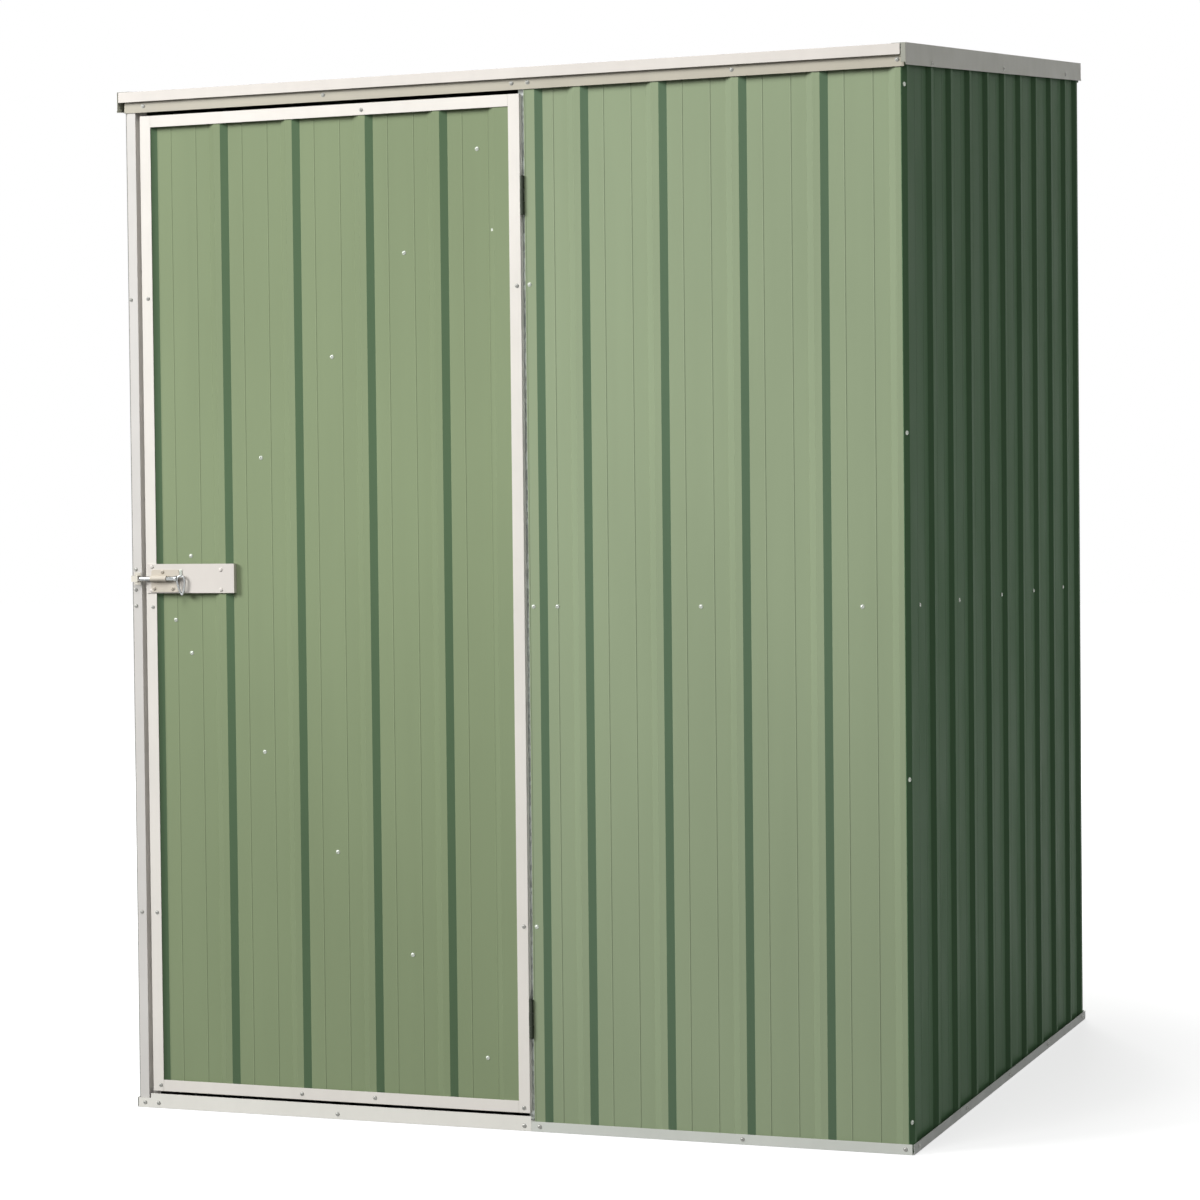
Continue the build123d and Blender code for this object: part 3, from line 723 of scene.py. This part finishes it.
neck = ring_x - RING_HALF
rod = round_bar(ROD_LOW[0], neck - ROD_LOW[0], ROD_RADIUS, ROD_CHAMFER)
collar = round_bar(neck - COLLAR_LENGTH, COLLAR_LENGTH, COLLAR_RADIUS, ROD_CHAMFER)
ring = wire_ring()
fresh()
for part in (rod, collar, ring):
    part.select_set(True)
bpy.context.view_layer.objects.active = rod
bpy.ops.object.join()
bolt = bpy.context.object
bolt.name = "bolt_rod_and_ring"
bpy.ops.object.shade_smooth_by_angle(angle=SMOOTH_ANGLE)
bolt.data.materials.clear()
bolt.data.materials.append(bright)
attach(bolt, "bolt")
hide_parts("bolt_rod")

# Studio
# A pale floor, soft light mostly from the front left, and the camera at the photograph's place.
# The patterns that the screws and rivets were copied from are no longer needed.
for pattern in (screw, rivet):
    bpy.data.objects.remove(pattern)
fresh()

CAMERA_AT = (2.0798, -5.9136, 1.1089)
LOOKS_LEFT = 20.086
LOOKS_DOWN = 1.571
LEANS = 0.599
FOCUS_PIXELS = 3092.4
FRAME_PIXELS = 1200
FILM_WIDTH = 36.0
AMBIENT = 0.19
FLOOR_SIZE = 60
FLOOR_SINK = 0.0005
FLOOR_DARK = 0.15
FLOOR_PALE = 0.36
FLOOR_GLOW = 0.74
SHADOW_REACH = (1.0, 1.9)
WALL_HALF = 0.745
LAMP_TARGET = (0, -0.5, 1.0)
LAMPS = (
    ("key", (-8.5, -7.8, 5.5), 4.0, 1240),
    ("front", (-0.3, -4.0, 5.0), 2.0, 142),
    ("right", (6.0, -2.0, 3.5), 3.0, 12),
    ("back", (-2.0, 8.0, 4.0), 3.0, 420),
)

camera_data = bpy.data.cameras.new("camera")
camera_data.sensor_width = FILM_WIDTH
camera_data.sensor_fit = "HORIZONTAL"
camera_data.lens = FOCUS_PIXELS / FRAME_PIXELS * FILM_WIDTH
camera = bpy.data.objects.new("camera", camera_data)
bpy.context.collection.objects.link(camera)
aim = Matrix.Rotation(math.radians(LOOKS_LEFT), 4, "Z")
aim = aim @ Matrix.Rotation(math.radians(90 - LOOKS_DOWN), 4, "X")
aim = aim @ Matrix.Rotation(math.radians(-LEANS), 4, "Z")
camera.matrix_world = Matrix.Translation(CAMERA_AT) @ aim
bpy.context.scene.camera = camera


def seen(tree):
    """1 where a camera, glossy or transmission ray arrives, and 0 for light that bounces."""
    sight = tree.nodes.new("ShaderNodeLightPath")
    straight = calculated(tree, "MAXIMUM", sight.outputs["Is Camera Ray"], sight.outputs["Is Glossy Ray"])
    return calculated(tree, "MAXIMUM", straight, sight.outputs["Is Transmission Ray"])


def under_the_shed(tree, split):
    """1 inside the walls, where the floor is painted dark as shade, and 0 outside them."""
    inside = None
    for axis, middle in zip("XY", PLAN_MIDDLE):
        away = calculated(tree, "ABSOLUTE", calculated(tree, "SUBTRACT", split.outputs[axis], middle))
        within = calculated(tree, "LESS_THAN", away, WALL_HALF)
        inside = within if inside is None else calculated(tree, "MULTIPLY", inside, within)
    return inside


def floor_material():
    """White to the eye, with the object's shadow near it and painted shade under the shed, and dull to
    the light that bounces.
    """
    material, tree, shader = new_material("pale_floor", (FLOOR_PALE,) * 3, 1.0, specular=0.0)
    direct = seen(tree)
    split = tree.nodes.new("ShaderNodeSeparateXYZ")
    # Painted shade: inside the walls the floor is dark to the eye and has no glow.
    outside = calculated(tree, "SUBTRACT", 1.0, under_the_shed(tree, split))
    direct = calculated(tree, "MULTIPLY", direct, outside)
    tone = calculated(tree, "MULTIPLY_ADD", direct, FLOOR_PALE - FLOOR_DARK, FLOOR_DARK)
    tinted(tree, shader, (1, 1, 1), tone)
    place = tree.nodes.new("ShaderNodeTexCoord")
    length = tree.nodes.new("ShaderNodeVectorMath")
    length.operation = "LENGTH"
    wire(tree, place.outputs["Object"], length.inputs[0])
    wire(tree, place.outputs["Object"], split.inputs["Vector"])
    fade = tree.nodes.new("ShaderNodeMapRange")
    fade.inputs["From Min"].default_value = SHADOW_REACH[0]
    fade.inputs["From Max"].default_value = SHADOW_REACH[1]
    fade.inputs["To Min"].default_value = FLOOR_GLOW
    fade.inputs["To Max"].default_value = 1.0
    wire(tree, length.outputs["Value"], fade.inputs["Value"])
    shader.inputs["Emission Color"].default_value = (1, 1, 1, 1)
    glow = calculated(tree, "MULTIPLY", fade.outputs["Result"], direct)
    wire(tree, glow, shader.inputs["Emission Strength"])
    return material


bpy.ops.mesh.primitive_plane_add(size=FLOOR_SIZE, location=(0, 0, -FLOOR_SINK))
floor = bpy.context.object
floor.name = "floor"
floor.data.materials.append(floor_material())

world = bpy.data.worlds.new("studio")
bpy.context.scene.world = world
world.use_nodes = True
sky = world.node_tree
backdrop = sky.nodes["Background"]
backdrop.inputs["Color"].default_value = (1, 1, 1, 1)
level = calculated(sky, "MULTIPLY_ADD", seen(sky), 1.0 - AMBIENT, AMBIENT)
wire(sky, level, backdrop.inputs["Strength"])


def soft_lamp(name, place, size, power):
    lamp = bpy.data.lights.new(name, "AREA")
    lamp.size = size
    lamp.energy = power
    holder = bpy.data.objects.new(name, lamp)
    bpy.context.collection.objects.link(holder)
    aim_at = Vector(LAMP_TARGET) - Vector(place)
    turn = aim_at.to_track_quat("-Z", "Y").to_matrix().to_4x4()
    holder.matrix_world = Matrix.Translation(place) @ turn


for name, place, size, power in LAMPS:
    soft_lamp(name, place, size, power)

bpy.context.scene.view_settings.view_transform = "Standard"
bpy.context.view_layer.update()
